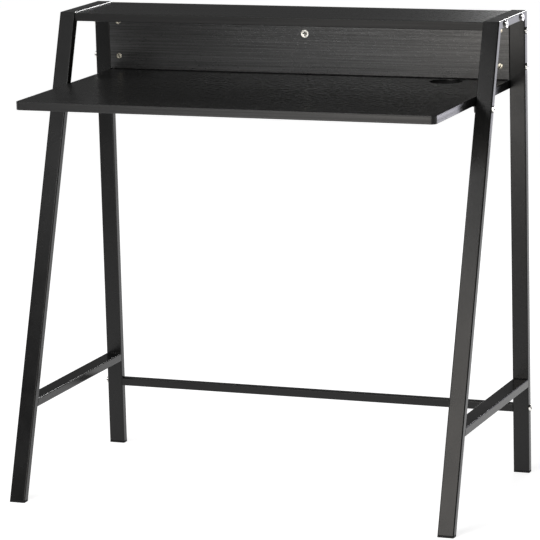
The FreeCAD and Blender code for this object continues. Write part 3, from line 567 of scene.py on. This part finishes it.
def placingTree():
    # sets a fastener on every point, turned to its side and by a chance angle about its own axis
    tree, keys, given = startTree("set_fasteners", {
        "Fastener": "NodeSocketObject", "Size": "NodeSocketFloat", "Largest turn": "NodeSocketFloat",
        "Seed": "NodeSocketInt", "Finish": "NodeSocketMaterial"})
    spots = addNode(tree, "GeometryNodeMeshToPoints", links={"Mesh": given["Geometry"]})
    shape = addNode(tree, "GeometryNodeObjectInfo", links={"Object": given["Fastener"]})
    side = addNode(tree, "GeometryNodeInputNamedAttribute", {"data_type": "FLOAT", "Name": "halfTurns"})
    facing = addNode(tree, "ShaderNodeMath", {"operation": "MULTIPLY", 1: math.pi},
                     {0: side.outputs["Attribute"]})
    chance = addNode(tree, "FunctionNodeRandomValue", {"data_type": "FLOAT"},
                     {"Max": given["Largest turn"], "Seed": given["Seed"]})
    turn = addNode(tree, "ShaderNodeCombineXYZ", links={
        "X": next(out for out in chance.outputs if out.enabled), "Z": facing.outputs["Value"]})
    copies = addNode(tree, "GeometryNodeInstanceOnPoints", links={
        "Points": spots.outputs["Points"], "Instance": shape.outputs["Geometry"],
        "Rotation": turn.outputs["Vector"], "Scale": given["Size"]})
    endTree(tree, copies, given["Finish"])
    return tree, keys


def runTree(name, points, edges, halfTurns, treeAndKeys, values, material):
    # runs a node tree on a few points or lines, and keeps its result as a plain mesh
    base = bpy.data.meshes.new(name)
    base.from_pydata([tuple(point) for point in points], edges, [])
    if halfTurns:
        layer = base.attributes.new("halfTurns", "FLOAT", "POINT")
        layer.data.foreach_set("value", halfTurns)
    carrier = bpy.data.objects.new(name + "_points", base)
    bpy.context.scene.collection.objects.link(carrier)
    modifier = carrier.modifiers.new("Nodes", "NODES")
    modifier.node_group, keys = treeAndKeys
    for label, value in values.items():
        modifier[keys[label]] = value
    bpy.context.view_layer.update()
    evaluated = carrier.evaluated_get(bpy.context.evaluated_depsgraph_get())
    mesh = bpy.data.meshes.new_from_object(evaluated)
    carrier.modifiers.remove(modifier)
    bpy.data.objects.remove(carrier)
    mesh.name = name
    return finishPiece(name, mesh, material)


fastenerTree = placingTree()


def setFasteners(name, shell, spots, halfTurns, material, nodes, seed):
    pattern = newPiece(name + "_pattern", *shell, material)
    values = {"Fastener": pattern, "Size": 1.0, "Largest turn": 2 * math.pi, "Seed": seed, "Finish": material}
    piece = runTree(name, spots, [], halfTurns, fastenerTree, values, material)
    bpy.data.objects.remove(pattern)
    mountPiece(piece, nodes)


mergeDistance = 0.001 * mm  # loose triangles of a CAD mesh are joined within this


def solidBoxes(node):
    # the box of each separate solid in a CAD node that holds a group
    shell = bmesh.new()
    shell.from_mesh(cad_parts[node].data)
    bmesh.ops.remove_doubles(shell, verts=shell.verts, dist=mergeDistance)
    boxes, left = [], set(shell.verts)
    while left:
        stack, group = [left.pop()], []
        while stack:
            vert = stack.pop()
            group.append(vert.co.copy())
            for edge in vert.link_edges:
                other = edge.other_vert(vert)
                if other in left:
                    left.remove(other)
                    stack.append(other)
        boxes.append([Vector(pick(point[axis] for point in group) for axis in range(3))
                      for pick in (min, max)])
    shell.free()
    return sorted(boxes, key=lambda box: tuple(round(value, 4) for value in box[0]))


for seed, node in enumerate(("shelf_bolts", "panel_bolts", "crossbar_bolts", "bracket_bolts")):
    spots, halfTurns = [], []
    for low, high in solidBoxes(node):
        middle = (low + high) / 2
        right = middle.x > 0
        seat = high.x - boltShape["headHeight"] if right else low.x + boltShape["headHeight"]
        length = abs((low.x if right else high.x) - seat)
        spots.append(Vector((seat, middle.y, middle.z)))
        halfTurns.append(0 if right else 1)
    setFasteners(node.replace("_", "_button_"), boltShell(boltShape, length), spots, halfTurns, nickel,
                 [node], seed)
print("fasteners set")


# Weld beads where the tubes of a side frame meet

weldBead = {"width": 3.2 * mm, "spacing": 1.5 * mm, "flatness": 0.75, "unevenness": 0.16, "seed": 4,
            "clearOfCorner": 2.5 * mm}


def weldTree():
    # lays overlapping ripples along every line
    tree, keys, given = startTree("lay_weld_beads", {
        "Width": "NodeSocketFloat", "Spacing": "NodeSocketFloat", "Flatness": "NodeSocketFloat",
        "Unevenness": "NodeSocketFloat", "Seed": "NodeSocketInt", "Finish": "NodeSocketMaterial"})
    lines = addNode(tree, "GeometryNodeMeshToCurve", links={"Mesh": given["Geometry"]})
    stops = addNode(tree, "GeometryNodeResampleCurve", {"mode": "LENGTH"},
                    {"Curve": lines.outputs["Curve"], "Length": given["Spacing"]})
    radius = addNode(tree, "ShaderNodeMath", {"operation": "MULTIPLY", 1: 0.5}, {0: given["Width"]})
    ripple = addNode(tree, "GeometryNodeMeshIcoSphere", {"Subdivisions": 3},
                     {"Radius": radius.outputs["Value"]})
    least = addNode(tree, "ShaderNodeMath", {"operation": "SUBTRACT", 0: 1.0}, {1: given["Unevenness"]})
    size = addNode(tree, "FunctionNodeRandomValue", {"data_type": "FLOAT"},
                   {"Min": least.outputs["Value"], "Seed": given["Seed"]})
    chance = next(out for out in size.outputs if out.enabled)
    along = addNode(tree, "ShaderNodeMath", {"operation": "MULTIPLY"}, {0: chance, 1: given["Flatness"]})
    scale = addNode(tree, "ShaderNodeCombineXYZ", links={
        "X": along.outputs["Value"], "Y": chance, "Z": chance})
    ripples = addNode(tree, "GeometryNodeInstanceOnPoints", links={
        "Points": stops.outputs["Curve"], "Instance": ripple.outputs["Mesh"],
        "Scale": scale.outputs["Vector"]})
    endTree(tree, ripples, given["Finish"])
    return tree, keys


def weldLines(sizes, lines, bead):
    # above and below each stretcher's ends, and in the inner corners under each top bar
    ends, legBack = [], lines["legBack"][0]
    innerTop = sizes["overallHeight"] - sizes["tubeDeep"]
    rearFace = lines["rearLegFront"][0].y
    for side in ("left", "right"):
        low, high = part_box(f"{side}_side_stretcher")
        left, right = low.x + bead["clearOfCorner"], high.x - bead["clearOfCorner"]
        for height in (low.z, high.z, innerTop):
            onLeg = legBack + lines["along"] * ((height - legBack.z) / lines["along"].z)
            for back in (onLeg.y, rearFace):
                ends.append((Vector((left, back, height)), Vector((right, back, height))))
    return ends


beadLines = weldLines(frameTubes, frameShape, weldBead)
beadValues = {"Width": weldBead["width"], "Spacing": weldBead["spacing"], "Flatness": weldBead["flatness"],
              "Unevenness": weldBead["unevenness"], "Seed": weldBead["seed"], "Finish": powderCoat}
weldPiece = runTree("frame_weld_beads", [end for line in beadLines for end in line],
                    [(2 * place, 2 * place + 1) for place in range(len(beadLines))], None, weldTree(),
                    beadValues, powderCoat)
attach(weldPiece, "desk")
print("weld beads laid")


# Small turned, bent and moulded pieces: fair copies of the CAD solids with their edges broken

fairCopies = {
    # node: width of the broken edge, finish, slot, body
    "panel_barrel_nuts": (0.25 * mm, zinc, "zinc_plated_steel", "desk"),
    "shelf_barrel_nuts": (0.25 * mm, zinc, "zinc_plated_steel", "desk"),
    "bracket_screws": (0.15 * mm, zinc, "zinc_plated_steel", "desk"),
    "panel_screws": (0.12 * mm, zinc, "zinc_plated_steel", "desk"),
    "left_bracket": (0.3 * mm, powderCoat, "black_steel", "desk"),
    "right_bracket": (0.3 * mm, powderCoat, "black_steel", "desk"),
    "cable_hole_liner": (0.2 * mm, moulded, "black_plastic", "desk"),
    "panel_spacers": (0.3 * mm, moulded, "black_plastic", "desk"),
    "cam_lock": (0.2 * mm, dieCast, "zinc_plated_steel", "cam"),
}
edgeBreak = {"flatLimit": math.radians(1), "sharpLimit": math.radians(40), "segments": 2}


def fairCopy(node, width, material, limits):
    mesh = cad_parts[node].data.copy()
    shell = bmesh.new()
    shell.from_mesh(mesh)
    bmesh.ops.remove_doubles(shell, verts=shell.verts, dist=mergeDistance)
    bmesh.ops.dissolve_limit(shell, angle_limit=limits["flatLimit"], verts=shell.verts, edges=shell.edges)
    shell.to_mesh(mesh)
    shell.free()
    rough = finishPiece(node + "_rough", mesh, material)
    bevel = rough.modifiers.new("edges", "BEVEL")
    bevel.width, bevel.segments = width, limits["segments"]
    bevel.limit_method, bevel.angle_limit = "ANGLE", limits["sharpLimit"]
    bpy.context.view_layer.update()
    smooth = bpy.data.meshes.new_from_object(rough.evaluated_get(bpy.context.evaluated_depsgraph_get()))
    bpy.data.objects.remove(rough)
    return finishPiece(node + "_fair", smooth, material)


for node, (width, material, slot, body) in fairCopies.items():
    mountPiece(fairCopy(node, width, material, edgeBreak), [node], body)
print("small pieces copied")


# A dark plastic strip fills the gap under the back panel, between the washers that the panel stands on; it is
# a dark sheet put there as painted shade for the shadow in that gap

footStrip = {"behindFace": 3 * mm, "beforeRear": 2 * mm, "fromEnd": 5 * mm, "besideWasher": 0.5 * mm}


def footStripShell(sizes):
    low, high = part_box("back_panel")
    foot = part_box("desktop")[1].z
    stops = [low.x + sizes["fromEnd"]]
    for washerLow, washerHigh in solidBoxes("panel_spacers"):
        stops += [washerLow.x - sizes["besideWasher"], washerHigh.x + sizes["besideWasher"]]
    stops.append(high.x - sizes["fromEnd"])
    points, faces = [], []
    for start, end in zip(stops[::2], stops[1::2]):
        first = len(points)
        for x in (start, end):
            for y in (low.y + sizes["behindFace"], high.y - sizes["beforeRear"]):
                points += [Vector((x, y, foot)), Vector((x, y, low.z))]
        faces += [[first + corner for corner in face] for face in (
            (0, 1, 3, 2), (4, 6, 7, 5), (0, 4, 5, 1), (2, 3, 7, 6), (0, 2, 6, 4), (1, 5, 7, 3))]
    return points, faces


stripPiece = newPiece("panel_foot_strip", *footStripShell(footStrip), moulded)
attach(stripPiece, "desk")
print("strip under the panel laid")


# CAD nodes that stay as they are get their finish

nodeFinishes = {
    "desktop": ashFoil, "top_shelf": ashFoil, "back_panel": ashFoil, "crossbar_inserts": zinc,
    "shelf_dowels": beech, "cam_dowel": zinc,
}
for node, material in nodeFinishes.items():
    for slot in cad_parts[node].material_slots:
        slot.material = material
print("boards finished")


# Stage: pale floor, soft grey room, lamps and the camera

floorLook = {"reach": 120, "colour": "#c8c8c8", "below": 0.2 * mm, "lift": 0.8,
             "frontLift": 0.05, "fallOff": (-3.5, -0.6)}  # greyer in front of the desk, outside the picture


def makeFloor(look):
    reach, height = look["reach"], -look["below"]
    corners = [(x * reach, y * reach, height) for x, y in ((-1, -1), (1, -1), (1, 1), (-1, 1))]
    mesh = bpy.data.meshes.new("floor")
    mesh.from_pydata(corners, [], [[0, 1, 2, 3]])
    floor = bpy.data.objects.new("floor", mesh)
    bpy.context.scene.collection.objects.link(floor)
    material, tree, spot = startMaterial("pale_studio_floor")
    matt = addNode(tree, "ShaderNodeBsdfDiffuse", {"Color": hexColour(look["colour"])})
    path = addNode(tree, "ShaderNodeLightPath").outputs  # the floor looks white, and still takes the shadow
    direct = addNode(tree, "ShaderNodeMath", {"operation": "MAXIMUM"},
                     {0: path["Is Camera Ray"], 1: path["Is Glossy Ray"]})
    seen = addNode(tree, "ShaderNodeMath", {"operation": "MAXIMUM"},
                   {0: direct.outputs["Value"], 1: path["Is Transmission Ray"]})
    along = addNode(tree, "ShaderNodeSeparateXYZ", links={"Vector": spot}).outputs["Y"]
    near = addNode(tree, "ShaderNodeMapRange", {
        "From Min": look["fallOff"][0], "From Max": look["fallOff"][1],
        "To Min": look["frontLift"], "To Max": look["lift"]}, {"Value": along})
    level = addNode(tree, "ShaderNodeMath", {"operation": "MULTIPLY"},
                    {0: seen.outputs["Value"], 1: near.outputs["Result"]})
    glow = addNode(tree, "ShaderNodeEmission", links={"Strength": level.outputs["Value"]})
    both = addNode(tree, "ShaderNodeAddShader", links={0: matt.outputs["BSDF"], 1: glow.outputs["Emission"]})
    addNode(tree, "ShaderNodeOutputMaterial", links={"Surface": both.outputs["Shader"]})
    mesh.materials.append(material)


roomLook = {"colour": "#ffffff", "strength": 0.095}
room = bpy.data.worlds.new("soft_grey_room")
room.use_nodes = True
room.node_tree.nodes.clear()
sky = addNode(room.node_tree, "ShaderNodeBackground", {"Color": hexColour(roomLook["colour"]),
                                                       "Strength": roomLook["strength"]})
addNode(room.node_tree, "ShaderNodeOutputWorld", links={"Surface": sky.outputs["Background"]})
bpy.context.scene.world = room

lamps = {
    # place, aim, (width, height), watts, colour
    "keySoftbox": ((0.0, -1.7, 0.75), (0.0, 0.0, 0.75), (0.6, 1.0), 8, "#fffaf4"),
    "lowSoftbox": ((-0.6, -1.7, 0.5), (-0.6, 0.0, 0.5), (0.6, 0.5), 2.5, "#ffffff"),
    "highSoftbox": ((-0.6, -1.7, 1.5), (-0.6, 0.0, 1.5), (0.6, 0.5), 7.5, "#ffffff"),
    "leftFill": ((-1.2, -1.7, 1.7), (-1.2, 0.0, 1.7), (0.6, 1.1), 1.7, "#ffffff"),
    "rightStrip": ((0.95, 1.75, 0.78), (0.42, 0.1, 0.78), (0.5, 0.55), 1.2, "#f1efff"),
    "edgeStrip": ((1.1, 1.75, 0.42), (0.39, -0.15, 0.72), (0.22, 0.13), 0.35, "#f1efff"),
    "rearLeftBox": ((-0.1, 2.6, 1.95), (-0.4, 0.15, 0.85), (0.5, 0.25), 14, "#ffffff"),
    "rearRightBox": ((0.45, 2.6, 1.62), (0.4, 0.15, 0.85), (0.5, 0.2), 10, "#ffffff"),
}
for name, (place, aim, (wide, high), watts, colour) in lamps.items():
    lamp = bpy.data.lights.new(name, "AREA")
    lamp.shape, lamp.size, lamp.size_y = "RECTANGLE", wide, high
    lamp.energy, lamp.color = watts, hexColour(colour)[:3]
    stand = bpy.data.objects.new(name, lamp)
    stand.location = place
    stand.rotation_euler = (Vector(aim) - Vector(place)).to_track_quat("-Z", "Y").to_euler()
    stand.visible_camera = False
    bpy.context.scene.collection.objects.link(stand)

overhead = {"direction": (0.3, 0.45, -0.9), "strength": 0.95, "spreadDegrees": 35}  # lights the floor evenly
sun = bpy.data.lights.new("overhead", "SUN")
sun.energy, sun.angle = overhead["strength"], math.radians(overhead["spreadDegrees"])
sunStand = bpy.data.objects.new("overhead", sun)
sunStand.rotation_euler = Vector(overhead["direction"]).to_track_quat("-Z", "Y").to_euler()
bpy.context.scene.collection.objects.link(sunStand)

makeFloor(floorLook)

cameraView = {
    "place": (2.11608, -5.3422, 1.57215), "lens": 218.0, "sensor": 36,
    "right": (0.93160817, 0.3625773, -0.02537557), "up": (-0.04927444, 0.19516027, 0.9795328),
}
right, up = Vector(cameraView["right"]).normalized(), Vector(cameraView["up"]).normalized()
turn = Matrix((right, up, right.cross(up))).transposed()
cameraData = bpy.data.cameras.new("photo_view")
cameraData.lens, cameraData.sensor_width = cameraView["lens"], cameraView["sensor"]
camera = bpy.data.objects.new("photo_view", cameraData)
camera.matrix_world = Matrix.Translation(cameraView["place"]) @ turn.to_4x4()
bpy.context.scene.collection.objects.link(camera)
bpy.context.scene.camera = camera
bpy.context.scene.view_settings.view_transform = "Standard"
print("stage set")
